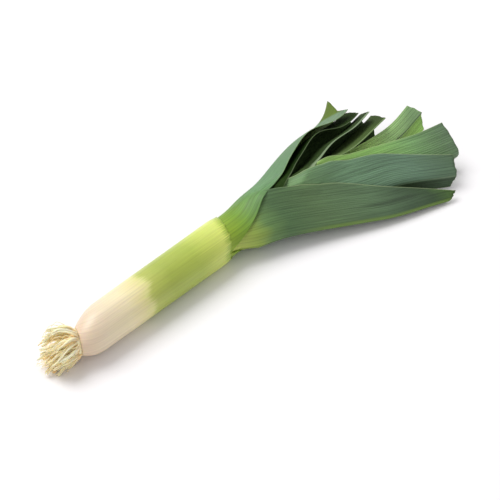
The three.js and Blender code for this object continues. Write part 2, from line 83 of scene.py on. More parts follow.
# ---- How finely the pieces are meshed ----
FINE_STEPS = 72           # columns from keel to margin
STATION_PITCH = 2         # worked-out sections along the leek
ROW_PITCH = 2.5           # rows of faces along a blade
LIFT_REACH = 9
LIFT_EASE = 0.14          # share of a half's width, from the keel, over which its lift comes in
BLEND_ROWS = 9            # sections over which a leaf's lie is smoothed
POINT_RADIUS = 0.05       # a closed end, instead of a true point


def degrees(value):
    return value * math.pi / 180


def clamp01(value):
    return min(1.0, max(0.0, value))


def smooth_step(start, end, value):
    t = np.clip((value - start) / (end - start), 0, 1)
    return t * t * (3 - 2 * t)


def keyed(keys, place):
    """A smooth curve through [place, value] keys: level before the first, straight on after the last."""
    last = len(keys) - 1

    def slope(a, b):
        return (keys[b][1] - keys[a][1]) / (keys[b][0] - keys[a][0])

    if place <= keys[0][0]:
        return keys[0][1]
    if place >= keys[last][0]:
        return keys[last][1] + slope(last - 1, last) * (place - keys[last][0])
    k = 0
    while place > keys[k + 1][0]:
        k += 1
    span = keys[k + 1][0] - keys[k][0]
    t = (place - keys[k][0]) / span
    start_slope = 0 if k == 0 else slope(k - 1, k + 1) * span
    end_slope = slope(k, last) * span if k + 1 == last else slope(k, k + 2) * span
    return ((2 * t ** 3 - 3 * t ** 2 + 1) * keys[k][1] + (t ** 3 - 2 * t ** 2 + t) * start_slope
            + (3 * t ** 2 - 2 * t ** 3) * keys[k + 1][1] + (t ** 3 - t ** 2) * end_slope)


# ---- The shaft ----
def shaft_radius(x):
    straight = BASE_RADIUS + (COLLAR_RADIUS - BASE_RADIUS) * clamp01(x / COLLAR_X)
    t = clamp01((x - FOOT_X) / SHOULDER_LENGTH)
    return NECK_RADIUS + (straight - NECK_RADIUS) * (1 - (1 - t) ** SHOULDER_FULLNESS)


def axis_height(x):
    return (BASE_RADIUS + (COLLAR_RADIUS - BASE_RADIUS) * clamp01(x / COLLAR_X)) * math.cos(FACET_ANGLE)


def shell_radius(shell, x):
    return shaft_radius(x) - shell * SHELL_PITCH


def leaf_foot_x(shell):
    return PLATE_TOP_X + CLEARANCE + FOOT_STEP * shell


def slanted(points):
    """The foot of the leek leans: what is at the left starts further along than what is at the right."""
    moved = np.array(points, float)
    moved[..., 0] += BASE_SLANT * moved[..., 1] * (1 - smooth_step(*SLANT_FADE, moved[..., 0]))
    return moved


# ---- Leaves, from the outside in ----
# Every row of keys is [x, out, height, upper angle, lower angle, upper width, lower width]: out is how far
# the keel lies from the fan's middle line, the angles say how steeply each half of the folded blade leaves
# the keel towards the middle, and the widths run from the keel to each margin. cut gives the x of the cut
# end from the lower margin (-1) over the keel (0) to the upper margin (1).
LEAVES = [
    dict(name="outer_sheath", side=-1, shell=0, mouth=180, opens=(180, 200), keys=[
        [200, 20, 19, 90, 90, 60, 60]],
        cut=[(-1, 168), (-0.5, 163), (-0.28, 161), (-0.12, 154), (0, 152), (0.4, 160), (0.75, 167),
             (1, 168)]),
    dict(name="leaf_left_1", side=1, shell=1, mouth=152, opens=(185, 250), keys=[
        [177, 17.8, 19, 90, 90, 45.5, 37], [200, 23, 20, 60, 50, 41.5, 40], [230, 30, 19, 40, 40, 38, 43],
        [262, 41, 18, 46, 35, 35, 40], [295, 50, 18, 52, 30, 34, 38], [325, 56, 17, 40, 27, 34, 37],
        [345, 65, 17, 34, 25, 37, 36], [362, 78, 17, 34, 20, 38, 34]],
        cut=[(-1, 350), (-0.1, 352), (0, 362), (0.25, 356), (0.45, 350), (0.6, 346), (1, 346)]),
    dict(name="leaf_right_1", side=-1, shell=2, mouth=160, opens=(170, 240), keys=[
        [176, 24.5, 18, 75, 70, 44, 42], [200, 32, 17, 56, 35, 50, 40], [240, 49, 13, 36, 15, 44, 36],
        [268, 61, 10, 30, 10, 44, 34], [300, 73, 7, 28, 5, 33.5, 32], [355, 86, 3, 24, 2, 9.5, 28]],
        cut=[(-1, 330), (0, 350), (1, 359)]),
    dict(name="leaf_left_2", side=1, shell=3, mouth=176, opens=(200, 262), keys=[
        [223, 19.5, 19, 50, 55, 38, 40], [264, 32, 18, 48, 42, 34, 36], [300, 44, 18, 52, 38, 33, 34],
        [325, 48, 18, 34, 37, 32, 33], [342, 50, 18, 33, 36, 31.5, 32.5], [355, 52, 18, 40, 35, 31, 32]],
        cut=[(-1, 366), (0, 358), (1, 350)]),
    dict(name="leaf_right_2", side=-1, shell=4, mouth=184, opens=(188, 255), keys=[
        [210, 21, 19, 58, 50, 44, 40], [245, 33, 18, 42, 60, 38, 30], [300, 46, 16, 36, 75, 36, 18],
        [325, 51, 15, 34, 82, 32, 14], [366, 69, 13, 30, 88, 24.5, 12.5]],
        cut=[(-1, 366), (0, 370), (1, 378)]),
    dict(name="leaf_left_3", side=1, shell=5, mouth=192, opens=(206, 270), keys=[
        [230, 10.5, 20, 58, 65, 40, 34], [256, 14, 20, 46, 50, 38, 34], [300, 27, 20, 47, 45, 34, 30],
        [330, 31, 20, 46, 42, 33, 29], [355, 38, 20, 48, 40, 30, 28]],
        cut=[(-1, 366), (0, 364), (1, 354)]),
    dict(name="leaf_right_3", side=-1, shell=6, mouth=200, opens=(205, 270), keys=[
        [230, 20, 20, 60, 60, 38, 34], [245, 25, 19, 52, 55, 37, 30], [300, 38, 18, 44, 52, 35, 26],
        [355, 49, 17, 40, 50, 33, 24], [390, 54, 17, 40, 50, 34, 24]],
        cut=[(-1, 382), (0, 390), (1, 391.5)]),
    dict(name="leaf_left_4", side=1, shell=7, mouth=208, opens=(215, 280), keys=[
        [240, 9, 20, 60, 75, 35, 28], [300, 14, 20, 40, 55, 36, 28], [355, 28.5, 20, 38, 45, 35, 24],
        [371, 34, 20, 38, 40, 35, 22]],
        cut=[(-1, 362), (0, 371), (1, 358)]),
    dict(name="leaf_right_4", side=-1, shell=8, mouth=216, opens=(222, 285), keys=[
        [245, 9, 20, 70, 80, 28, 20], [300, 9, 20, 50, 85, 16, 13], [356, 7, 20, 36, 130, 15, 12],
        [405, -7, 20, 36, 165, 16, 12.5]],
        cut=[(-1, 398), (0, 408), (1, 396)]),
]
OUT, HEIGHT, UPPER_ANGLE, LOWER_ANGLE, UPPER_WIDTH, LOWER_WIDTH = range(1, 7)


def tip_of(leaf):
    return max(x for _, x in leaf["cut"])


def along(leaf, column, x, start_x, start_value):
    keys = [(row[0], row[column]) for row in leaf["keys"] if row[0] > start_x + MOUTH_BLEND]
    return keyed([(start_x, start_value)] + keys, x)


def keel_at(leaf, x):
    mouth = leaf["mouth"]
    if x <= mouth:
        return shell_radius(leaf["shell"], x), axis_height(x)
    out = along(leaf, OUT, x, mouth, shell_radius(leaf["shell"], mouth))
    return out, along(leaf, HEIGHT, x, mouth, axis_height(mouth))


def sheath_half(out, far_reach, radius, width):
    """An egg that reaches to the keel on one side and past the next leaf's keel on the far side."""
    turn = np.linspace(0, math.pi, 4 * FINE_STEPS + 1)
    y = np.where(turn < math.pi / 2, out, far_reach) * np.cos(turn)
    z = radius * np.sin(turn)
    length = np.concatenate([[0], np.cumsum(np.hypot(np.diff(y), np.diff(z)))])
    reach = np.linspace(0, min(width, length[-1]), FINE_STEPS + 1)
    return np.stack([np.interp(reach, length, y), np.interp(reach, length, z)], axis=1)


def blade_half(out, angle, width):
    """A rounded fold that runs out straight at the given angle."""
    step = width / FINE_STEPS
    middle = (np.arange(FINE_STEPS) + 0.5) * step
    direction = angle + (math.pi / 2 - angle) * np.exp(-middle / KEEL_ROUNDING)
    y = out - np.concatenate([[0], np.cumsum(np.cos(direction) * step)])
    z = np.concatenate([[0], np.cumsum(np.sin(direction) * step)])
    return np.stack([y, z], axis=1)


def half_section(index, x, upper):
    """Half of a leaf's outer surface at x, as (y, z) points from keel to margin."""
    leaf = LEAVES[index]
    mouth = leaf["mouth"]
    out, height = keel_at(leaf, x)
    radius = shell_radius(leaf["shell"], x)
    far_reach = radius
    if index + 1 < len(LEAVES):
        far_reach = max(radius, keel_at(LEAVES[index + 1], x)[0] + SHELL_PITCH)
    sheath_width = math.pi * radius
    width = math.inf
    if x > mouth:
        column = UPPER_WIDTH if upper else LOWER_WIDTH
        blade_width = along(leaf, column, x, mouth + MOUTH_BLEND, BLADE_GIRTH * sheath_width)
        width = sheath_width + (blade_width - sheath_width) * smooth_step(mouth, mouth + MOUTH_BLEND, x)
    points = sheath_half(out, far_reach, radius, width)
    opened = smooth_step(*leaf["opens"], x)
    if opened > 0:
        angle = degrees(along(leaf, UPPER_ANGLE if upper else LOWER_ANGLE, x, mouth, 90))
        points = points + (blade_half(out, angle, width) - points) * opened
    ys = leaf["side"] * points[:, 0] + keyed(FAN_MIDDLE, x)
    zs = height + (1 if upper else -1) * points[:, 1]
    return np.stack([ys, zs], axis=1)


FRACTIONS = np.linspace(0, 1, FINE_STEPS + 1)


def wall_at(leaf, x):
    blade = KEEL_WALL + (MARGIN_WALL - KEEL_WALL) * FRACTIONS
    return SHEATH_WALL + (blade - SHEATH_WALL) * smooth_step(*leaf["opens"], x)


def height_over(line, ys):
    """Highest z of a polyline over each y, or -infinity beside it."""
    y0, z0 = line[:-1, 0], line[:-1, 1]
    y1, z1 = line[1:, 0], line[1:, 1]
    run = np.where(y1 == y0, 1.0, y1 - y0)
    t = (ys[:, None] - y0) / run
    crossed = (t >= 0) & (t <= 1) & (y1 != y0)
    return np.where(crossed, z0 + t * (z1 - z0), -np.inf).max(axis=1)


def lay_over(points, supports, room):
    """Lifts a half section clear above what is under it. The keel itself stays where it is."""
    floor = np.full(len(points), -np.inf)
    for support in supports:
        floor = np.maximum(floor, height_over(support, points[:, 0]))
    lift = np.maximum(0, floor + room - points[:, 1])
    lift[0] = 0
    padded = np.pad(lift, LIFT_REACH)
    spread = np.max([padded[k:k + len(lift)] for k in range(2 * LIFT_REACH + 1)], axis=0)
    lifted = points.copy()
    lifted[:, 1] += spread * smooth_step(0, LIFT_EASE, FRACTIONS)
    return lifted


def slope_room(points):
    steps = np.abs(np.gradient(points, axis=0))
    return np.minimum(MOST_SLOPE_ROOM, np.hypot(steps[:, 0], steps[:, 1]) / np.maximum(steps[:, 0], 1e-6))


def stack_at(x):
    """All leaves' sections at x: upper halves lie on the leaves inside, lower halves on those outside."""
    present = [k for k, leaf in enumerate(LEAVES) if x <= tip_of(leaf) + 2 * STATION_PITCH]
    uppers = {}
    for k in reversed(present):
        upper = half_section(k, x, True)
        if x > LEAVES[k]["mouth"]:
            room = CLEARANCE + wall_at(LEAVES[k], x) * slope_room(upper)
            upper = lay_over(upper, list(uppers.values()), room)
        uppers[k] = upper
    lowers = {}
    linings = []
    for k in present:
        lower = half_section(k, x, False)
        if x > LEAVES[k]["mouth"]:
            lower = lay_over(lower, linings, CLEARANCE)
            lower[:, 1] = np.maximum(0, lower[:, 1])
        lining = lower.copy()
        lining[:, 1] += wall_at(LEAVES[k], x) * slope_room(lower)
        linings.append(lining)
        lowers[k] = lower
    return {k: (lowers[k], uppers[k]) for k in present}


def smoothed_rows(rows, first):
    """A moving average along the leek for the rows from the mouth on, level with the rows before it."""
    reach = BLEND_ROWS // 2
    smooth = rows.copy()
    for k in range(first, len(rows)):
        near = min(reach, k - first, len(rows) - 1 - k)
        smooth[k] = rows[k - near:k + near + 1].mean(axis=0)
    return smooth


FIRST_STATION = STATION_PITCH * math.floor(FOOT_X / STATION_PITCH)
LAST_STATION = max(tip_of(leaf) for leaf in LEAVES) + 2 * STATION_PITCH
STATIONS = np.arange(FIRST_STATION, LAST_STATION + 1, STATION_PITCH)


def leaf_tables():
    """For each leaf the two halves' points at all its stations, as [lower, upper] arrays."""
    stacks = [stack_at(float(x)) for x in STATIONS]
    tables = []
    for k, leaf in enumerate(LEAVES):
        rows = [stack[k] for stack in stacks if k in stack]
        first = int((leaf["mouth"] - FIRST_STATION) // STATION_PITCH) + 1
        tables.append([smoothed_rows(np.array([row[half] for row in rows]), first) for half in (0, 1)])
    return tables


TABLES = leaf_tables()


# ---- The lie of the whole fan: one gentle warp of space, so that neighbours stay apart ----
LIE_FADE_IN = (225, 300)
LIE_RISE = 0.55           # how far the ripples lift the blades
LIE_SWAY = 0.5            # and how far they push them sideways
RISE_LENGTHS = (15.0, 23.0, 17.0, 41.0)
SWAY_LENGTHS = (21.0, 34.0)
TABLE_GAP = 0.02          # the ripples push nothing lower than this


def lie(points):
    x, y = points[..., 0], points[..., 1]
    free = smooth_step(*LIE_FADE_IN, x)
    warped = points.copy()
    a, b, c, d = RISE_LENGTHS
    warped[..., 2] += free * LIE_RISE * (np.sin(x / a + y / b) * np.sin(y / c - x / d))
    a, b = SWAY_LENGTHS
    warped[..., 1] += free * LIE_SWAY * np.sin(x / a + y / b)
    warped[..., 2] = np.maximum(warped[..., 2], np.minimum(points[..., 2], TABLE_GAP))
    return warped


# ---- From the leek's millimetres to the frame's metres ----
# The sheath's lowest x is where the slanted shoulder reaches furthest back.
SHOULDER_TOP_X = FOOT_X + SHOULDER_LENGTH
SHOULDER_SAMPLES = 57
FOOT_RING = [(x, -shaft_radius(x), 0.0) for x in np.linspace(FOOT_X, SHOULDER_TOP_X, SHOULDER_SAMPLES)]
SHEATH_LOW_X = slanted(FOOT_RING)[:, 0].min()
HEART_LOW, HEART_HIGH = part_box("heart_leaf")
ORIGIN = np.array([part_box("outer_sheath")[0].x - SHEATH_LOW_X * MM, (HEART_LOW.y + HEART_HIGH.y) / 2, 0.0])


def place(points):
    return np.asarray(points, float) * MM + ORIGIN


def add_piece(name, vertices, faces, attributes, material, node):
    """A smooth-shaded mesh of a leek's piece that stands for a CAD node."""
    mesh = bpy.data.meshes.new(name)
    mesh.from_pydata(place(vertices).tolist(), [], faces)
    for key, values in attributes.items():
        layer = mesh.attributes.new(key, "FLOAT", "POINT")
        layer.data.foreach_set("value", np.asarray(values, np.float32))
    mesh.polygons.foreach_set("use_smooth", [True] * len(mesh.polygons))
    mesh.materials.append(material)
    mesh.update()
    piece = bpy.data.objects.new(name, mesh)
    bpy.context.scene.collection.objects.link(piece)
    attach(piece, "root")
    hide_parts(node)
    return piece


# ---- Leaves as meshes ----
RIB_PITCH = 2.3
RIB_HEIGHT = 0.11
RIB_FADE = (0.12, 0.93)   # the ribs fade out towards the keel and the margin, as shares of the half's width
SHEATH_RIBS = 0.4         # how much of their height they have on the outer sheath
TUBE_RIBS = 0.35          # and on a leaf's closed tube
WALL_THINNING = 0.7       # below 1 the blade thins soonest beside the keel
BLADES_PART_X = 256       # from here on each blade follows its own cut
COLLAR_START_X = 128      # and the outer sheath from here
SHOULDER_PITCH = 1.5
SHEATH_ROWS = 45
TUBE_ROWS = 14
CUT_STEP = 0.35           # how far a knife's cut wanders
CUT_PACE = 3.1
CUT_PHASES = 6
BLADE_RAGS = (2, 4, 7)    # waves along a cut
SHEATH_RAGS = (3, 7, 13, 22, 37)
SHEATH_CUT_WANDER = 1.6   # the sheath's torn edge wanders this much more
SHEATH_FEATHER = 9        # the sheath thins over this length before its end
SHEATH_THINNING = 0.9
SEAM_GAP = 0.02           # points of a seam closer than this are joined


def leaf_stations(leaf):
    """The x of each row of points along a leaf, and the x from which the rows lean into its cut."""
    sheath = leaf["shell"] == 0
    foot = FOOT_X if sheath else leaf_foot_x(leaf["shell"])
    shoulder = [x for x in np.arange(FOOT_X + 1, SHOULDER_TOP_X, SHOULDER_PITCH) if x > foot + 0.2]
    free_from = COLLAR_START_X if sheath else BLADES_PART_X
    coarse_end = free_from if sheath else leaf["mouth"]
    stations = [foot] + shoulder
    stations += list(np.linspace(SHOULDER_TOP_X, coarse_end, SHEATH_ROWS if sheath else TUBE_ROWS))
    if not sheath:
        stations += list(np.arange(leaf["mouth"] + STATION_PITCH, free_from, STATION_PITCH)) + [free_from]
    rows = math.ceil((tip_of(leaf) - free_from) / ROW_PITCH)
    stations += list(np.linspace(free_from, tip_of(leaf), rows + 1)[1:])
    return np.array(stations), free_from


def half_skin(leaf, line, upper, ks, xs, to_cut):
    """One half's outside and lining as (y, z) points, and how far each point lies across from the keel.

    line holds the half's points at all stations, and ks counts the columns from the keel.
    """
    sheath = leaf["shell"] == 0
    station = np.clip((xs - FIRST_STATION) / STATION_PITCH, 0, len(line) - 1.001)
    row = station.astype(int)
    t = (station - row)[..., None]

    def at(k):
        k = np.broadcast_to(np.clip(k, 0, FINE_STEPS), row.shape)
        return line[row, k] * (1 - t) + line[row + 1, k] * t

    here = at(ks)
    tangent = at(ks + 1) - at(ks - 1)
    tangent[:, ks == 0] = (0, 1 if upper else -1)
    closed = xs <= leaf["mouth"]
    tangent[closed & (ks == FINE_STEPS)] = (0, -1 if upper else 1)
    length = np.linalg.norm(tangent, axis=-1, keepdims=True)
    turn = leaf["side"] if upper else -leaf["side"]
    normal = turn * np.stack([tangent[..., 1], -tangent[..., 0]], axis=-1) / length

    step = np.linalg.norm(here - at(ks - 1), axis=-1)
    arc = np.cumsum(step, axis=1) if upper else -np.cumsum(step[:, ::-1], axis=1)[:, ::-1]
    width = np.abs(arc).max(axis=1, keepdims=True)

    fraction = ks / FINE_STEPS
    opened = smooth_step(*leaf["opens"], xs)
    blade_wall = KEEL_WALL + (MARGIN_WALL - KEEL_WALL) * fraction ** WALL_THINNING
    wall = SHEATH_WALL + (blade_wall - SHEATH_WALL) * opened
    ribs = np.round(width.max() / RIB_PITCH)
    bump = np.cos(np.abs(arc) / width * ribs * 2 * math.pi)
    fade = smooth_step(0, RIB_FADE[0], fraction) * (1 - smooth_step(RIB_FADE[1], 1, fraction))
    relief = RIB_HEIGHT * bump * fade * (TUBE_RIBS + (1 - TUBE_RIBS) * opened)
    if sheath:
        thinned = 1 - smooth_step(0, SHEATH_FEATHER, to_cut)
        relief = SHEATH_RIBS * relief - SHEATH_THINNING * thinned
    outside = here + normal * relief[..., None]
    lining = here - normal * (wall if sheath else wall - 0.5 * relief)[..., None]
    return outside, lining, arc, width - np.abs(arc)


def cut_line(leaf, fractions, rng):
    """The x of the cut end at each column, with the small waves of a knife's cut or a torn edge."""
    cut = np.interp(fractions, [v for v, _ in leaf["cut"]], [x for _, x in leaf["cut"]])
    sheath = leaf["shell"] == 0
    wander = sum(rng.uniform(-1, 1) * np.sin(fractions * waves * CUT_PACE + rng.uniform(0, CUT_PHASES))
                 for waves in (SHEATH_RAGS if sheath else BLADE_RAGS))
    if sheath:
        wander = wander * np.cos(fractions * math.pi / 2) ** 2 * SHEATH_CUT_WANDER
    return cut + CUT_STEP * wander


def leaf_surfaces(index, rng):
    """A leaf's stations and, for each station and column, its points and what its material needs."""
    leaf = LEAVES[index]
    stations, free_from = leaf_stations(leaf)
    columns = np.arange(-FINE_STEPS, FINE_STEPS + 1)
    cut = cut_line(leaf, columns / FINE_STEPS, rng)
    past = np.clip((stations - free_from) / (tip_of(leaf) - free_from), 0, 1)[:, None]
    xs = np.where(past > 0, free_from + past * (cut[None, :] - free_from), stations[:, None])
    to_cut = cut[None, :] - xs

    outer = np.zeros(xs.shape + (3,))
    inside = np.zeros_like(outer)
    across = np.zeros(xs.shape)
    edge = np.zeros(xs.shape)
    outer[..., 0] = xs
    inside[..., 0] = xs
    for half, chosen in ((0, columns < 0), (1, columns >= 0)):
        skin = half_skin(leaf, TABLES[index][half], half == 1, np.abs(columns[chosen]),
                         xs[:, chosen], to_cut[:, chosen])
        outer[:, chosen, 1:], inside[:, chosen, 1:], across[:, chosen], edge[:, chosen] = skin
    outer[..., 2] = np.maximum(outer[..., 2], 0.0)
    return stations, xs, slanted(lie(outer)), slanted(lie(inside)), across, edge, to_cut


def leaf_faces(leaf, stations, n_columns):
    """Quads of the closed skin: outside, lining, foot ring, cut end and, past the mouth, both margins."""
    rows = len(stations)
    grid = np.arange(rows * n_columns).reshape(rows, n_columns)
    out, lin = grid, grid + rows * n_columns
    faces = []

    def strip(a, b, c, d):
        quads = np.stack([a.ravel(), b.ravel(), c.ravel(), d.ravel()], axis=1)
        faces.extend(quads.tolist() if leaf["side"] < 0 else quads[:, ::-1].tolist())

    strip(out[:-1, :-1], out[1:, :-1], out[1:, 1:], out[:-1, 1:])
    strip(lin[:-1, :-1], lin[:-1, 1:], lin[1:, 1:], lin[1:, :-1])
    free = stations[:-1] >= leaf["mouth"]
    if leaf["shell"] > 0:
        strip(out[:-1, 0][free], lin[:-1, 0][free], lin[1:, 0][free], out[1:, 0][free])
        strip(out[:-1, -1][free], out[1:, -1][free], lin[1:, -1][free], lin[:-1, -1][free])
    strip(out[0, :-1], out[0, 1:], lin[0, 1:], lin[0, :-1])
    strip(out[-1, :-1], lin[-1, :-1], lin[-1, 1:], out[-1, 1:])
    return faces


def weld(piece, distance):
    """Joins the two sides of a closed sheath's seam."""
    bm = bmesh.new()
    bm.from_mesh(piece.data)
    bmesh.ops.remove_doubles(bm, verts=bm.verts, dist=distance)
    bm.to_mesh(piece.data)
    bm.free()


def build_leaf(index, material):
    leaf = LEAVES[index]
    rng = random.Random(leaf["name"])
    stations, xs, outer, inside, across, edge, to_cut = leaf_surfaces(index, rng)
    vertices = np.concatenate([outer.reshape(-1, 3), inside.reshape(-1, 3)])
    lining = np.concatenate([np.zeros(xs.size), np.ones(xs.size)])
    attributes = {
        "along": np.tile(xs.ravel(), 2),
        "across": np.tile(across.ravel(), 2),
        "edge": np.tile(edge.ravel(), 2),
        "to_cut": np.tile(to_cut.ravel(), 2),
        "lining": lining,
    }
    faces = leaf_faces(leaf, stations, xs.shape[1])
    piece = add_piece(leaf["name"] + "_skin", vertices, faces, attributes, material, leaf["name"])
    weld(piece, SEAM_GAP * MM)


# ---- Node materials ----
def linear(red, green, blue):
    """A colour given as screen values from 0 to 255, as the shader takes it."""
    channels = []
    for value in (red, green, blue):
        v = value / 255
        channels.append(v / 12.92 if v <= 0.04045 else ((v + 0.055) / 1.055) ** 2.4)
    return (*channels, 1.0)


class Nodes:
    """Small helper that adds and links shader nodes."""

    def __init__(self, name):
        self.material = bpy.data.materials.new(name)
        self.material.use_nodes = True
        self.tree = self.material.node_tree
        self.shader = self.tree.nodes["Principled BSDF"]

    def link(self, value, socket):
        if isinstance(value, bpy.types.NodeSocket):
            self.tree.links.new(value, socket)
        else:
            socket.default_value = value

    def attribute(self, name):
        node = self.tree.nodes.new("ShaderNodeAttribute")
        node.attribute_name = name
        return node.outputs["Fac"]

    def math(self, operation, a, b=0.0, clamp=False):
        node = self.tree.nodes.new("ShaderNodeMath")
        node.operation = operation
        node.use_clamp = clamp
        self.link(a, node.inputs[0])
        self.link(b, node.inputs[1])
        return node.outputs[0]

    def vector(self, x, y, z):
        node = self.tree.nodes.new("ShaderNodeCombineXYZ")
        for value, socket in zip((x, y, z), node.inputs):
            self.link(value, socket)
        return node.outputs[0]

    def noise(self, vector, scale, detail=4.0, roughness=0.55):
        node = self.tree.nodes.new("ShaderNodeTexNoise")
        self.link(vector, node.inputs["Vector"])
        node.inputs["Scale"].default_value = scale
        node.inputs["Detail"].default_value = detail
        node.inputs["Roughness"].default_value = roughness
        return node.outputs["Fac"]

    def ramp(self, value, stops):
        node = self.tree.nodes.new("ShaderNodeValToRGB")
        elements = node.color_ramp.elements
        elements[0].position, elements[0].color = stops[0]
        elements[1].position, elements[1].color = stops[-1]
        for position, color in stops[1:-1]:
            element = elements.new(position)
            element.color = color
        self.link(value, node.inputs["Fac"])
        return node.outputs["Color"]

    def rise(self, value, start, end, low=0.0, high=1.0):
        """Smoothly from low to high as value goes from start to end."""
        node = self.tree.nodes.new("ShaderNodeMapRange")
        node.interpolation_type = "SMOOTHSTEP"
        self.link(value, node.inputs["Value"])
        for key, number in zip(("From Min", "From Max", "To Min", "To Max"), (start, end, low, high)):
            self.link(number, node.inputs[key])
        return node.outputs["Result"]

    def mix(self, factor, a, b, blend="MIX"):
        """Inputs 6 and 7 and output 2 are the colour ones."""
        node = self.tree.nodes.new("ShaderNodeMix")
        node.data_type = "RGBA"
        node.blend_type = blend
        self.link(factor, node.inputs[0])
        self.link(a, node.inputs[6])
        self.link(b, node.inputs[7])
        return node.outputs[2]

    def bump(self, height, strength, distance):
        node = self.tree.nodes.new("ShaderNodeBump")
        node.inputs["Strength"].default_value = strength
        node.inputs["Distance"].default_value = distance
        self.link(height, node.inputs["Height"])
        return node.outputs["Normal"]


LEAF_LENGTH = 420.0       # the whole range of "along", for the ramps
VEIN_PITCH = 3.1
VEIN_SWAY = 7.0
BLOT_DRIFT = 26           # how far blotches and streaks carry the tints along the leaf, in millimetres
STREAK_DRIFT = 16
BLADE_SHOWS = (205, 250)  # the tube becomes a blade here, with a lining that shows and bands at its edges
SKIN_BUMP = 0.0004        # metres
SKIN_DEPTH = 0.002        # metres
# Noise over a leaf: its scale per millimetre across and along, its shift from the seed, and its detail.
LEAF_NOISES = {
    "blot": (0.06, 0.022, 0, 3), "streaks": (1.15, 0.012, 1, 3), "fine": (3.4, 0.03, 7, 2),
    "mottle": (0.24, 0.02, 3, 3), "sway": (0.12, 0.006, 5, 1),
}


def leaf_material(name, seed, tints, lower_tints=None, lining=(112, 140, 84),
                  lit_margin_band=(0.7, (176, 192, 140), 0.35), keel_band=(1.0, (150, 172, 118), 0.2),
                  cut_band=(1.0, (150, 160, 112), 0.15), backlit_tip_corner=None, shade_patch=None,
                  rib_contrast=0.14, roughness=0.55, specular=0.4, subsurface=0.08, coat=0.0):
    """Leaf skin: colours along the leaf, lengthwise veins, and bands at the margins, keel and cut end.

    A band is its width in millimetres, its colour and how strongly it shows; the pale margin band is painted
    light, blade edges catching the light. The tip corner is a painted glow of light shining through the leaf:
    the x where it starts at the keel, how much later it starts per millimetre away from it, and its colour.
    The shade patch is a darker streak of painted shade: its middle (x, across), half length, half width and
    depth.
    """
    n = Nodes(name)
    along_x = n.attribute("along")
    across = n.attribute("across")

    def stretched(per_across, per_along, shift, detail):
        """Noise drawn out along the leaf."""
        u = n.math("MULTIPLY", across, per_across)
        v = n.math("MULTIPLY", along_x, per_along)
        return n.noise(n.vector(u, v, seed + shift), 1.0, detail)

    blot, streaks, fine, mottle, sway = (stretched(*noise) for noise in LEAF_NOISES.values())

    def around_zero(value, reach):
        return n.math("MULTIPLY", n.math("SUBTRACT", value, 0.5), reach)

    shifted = n.math("ADD", along_x, around_zero(blot, BLOT_DRIFT))
    shifted = n.math("ADD", shifted, around_zero(streaks, STREAK_DRIFT))
    place_along = n.math("DIVIDE", shifted, LEAF_LENGTH)
    base = n.ramp(place_along, [(x / LEAF_LENGTH, linear(*color)) for x, color in tints])
    if lower_tints:
        lower = n.ramp(place_along, [(x / LEAF_LENGTH, linear(*color)) for x, color in lower_tints])
        base = n.mix(n.rise(across, -1.6, -0.2), lower, base)

    def darkened(color, tone):
        return n.mix(1.0, color, n.vector(tone, tone, tone), "MULTIPLY")

    # a yellow-green corner near the tip: painted glow of light shining through the leaf
    if backlit_tip_corner:
        start, lag, color = backlit_tip_corner
        corner = n.math("SUBTRACT", along_x, n.math("MULTIPLY", n.math("ABSOLUTE", across), lag))
        base = n.mix(n.rise(corner, start - 2, start + 3), base, linear(*color))
    # a darker streaky patch: painted shade
    if shade_patch:
        middle_x, middle_across, half_length, half_width, depth = shade_patch
        off_x = n.math("DIVIDE", n.math("SUBTRACT", along_x, middle_x), half_length)
        off_across = n.math("DIVIDE", n.math("SUBTRACT", across, middle_across), half_width)
        distance = n.math("ADD", n.math("MULTIPLY", off_x, off_x), n.math("MULTIPLY", off_across, off_across))
        broken = around_zero(streaks, 5.0)
        base = darkened(base, n.rise(n.math("ADD", distance, broken), -0.2, 1.3, 1 - depth, 1.0))

    grown = n.rise(along_x, *BLADE_SHOWS)
    open_lining = n.math("MULTIPLY", n.attribute("lining"), grown)
    base = n.mix(open_lining, base, linear(*lining))

    vein = n.math("ADD", n.math("MULTIPLY", streaks, 0.6), n.math("MULTIPLY", fine, 0.4))
    base = darkened(base, n.rise(vein, 0.34, 0.66, 1 - rib_contrast, 1 + rib_contrast))
    bundle = n.math("ADD", across, n.math("MULTIPLY", sway, VEIN_SWAY))
    bundle = n.math("SINE", n.math("MULTIPLY", bundle, 2 * math.pi / VEIN_PITCH))
    base = darkened(base, n.rise(bundle, 0.2, 1.0, 1.0, 1 - 1.1 * rib_contrast))
    base = darkened(base, n.rise(mottle, 0.35, 0.7, 1 - 0.7 * rib_contrast, 1 + 0.7 * rib_contrast))

    def banded(color_below, distance, start, end, band_strength, color):
        """A band that is full up to start and gone at end."""
        band = n.math("SUBTRACT", 1.0, n.rise(distance, start, end))
        return n.mix(n.math("MULTIPLY", band, band_strength), color_below, linear(*color))

    width, color, strength = keel_band
    base = banded(base, n.math("ABSOLUTE", across), 0.4 * width, 1.3 * width,
                  n.math("MULTIPLY", grown, strength), color)
    # the pale margin band: painted light, blade edges catching the light
    width, color, strength = lit_margin_band
    from_margin = n.math("ADD", n.attribute("edge"), around_zero(blot, width))
    base = banded(base, from_margin, 0.6 * width, 1.3 * width, n.math("MULTIPLY", grown, strength), color)
    width, color, strength = cut_band
    from_cut = n.math("ADD", n.attribute("to_cut"), around_zero(streaks, 3 * width))
    base = banded(base, from_cut, 0.0, width, strength, color)

    n.link(base, n.shader.inputs["Base Color"])
    n.link(n.rise(mottle, 0.3, 0.7, roughness - 0.06, roughness + 0.08), n.shader.inputs["Roughness"])
    height = n.math("ADD", n.math("MULTIPLY", streaks, 0.7), n.math("MULTIPLY", fine, 0.5))
    n.link(n.bump(height, 0.35, SKIN_BUMP), n.shader.inputs["Normal"])
    n.shader.inputs["Specular IOR Level"].default_value = specular
    n.shader.inputs["Coat Weight"].default_value = coat
    n.shader.inputs["Coat Roughness"].default_value = 0.35
    n.shader.inputs["Subsurface Weight"].default_value = subsurface
    n.shader.inputs["Subsurface Radius"].default_value = (0.6, 1.0, 0.35)
    n.shader.inputs["Subsurface Scale"].default_value = SKIN_DEPTH
    return n.material


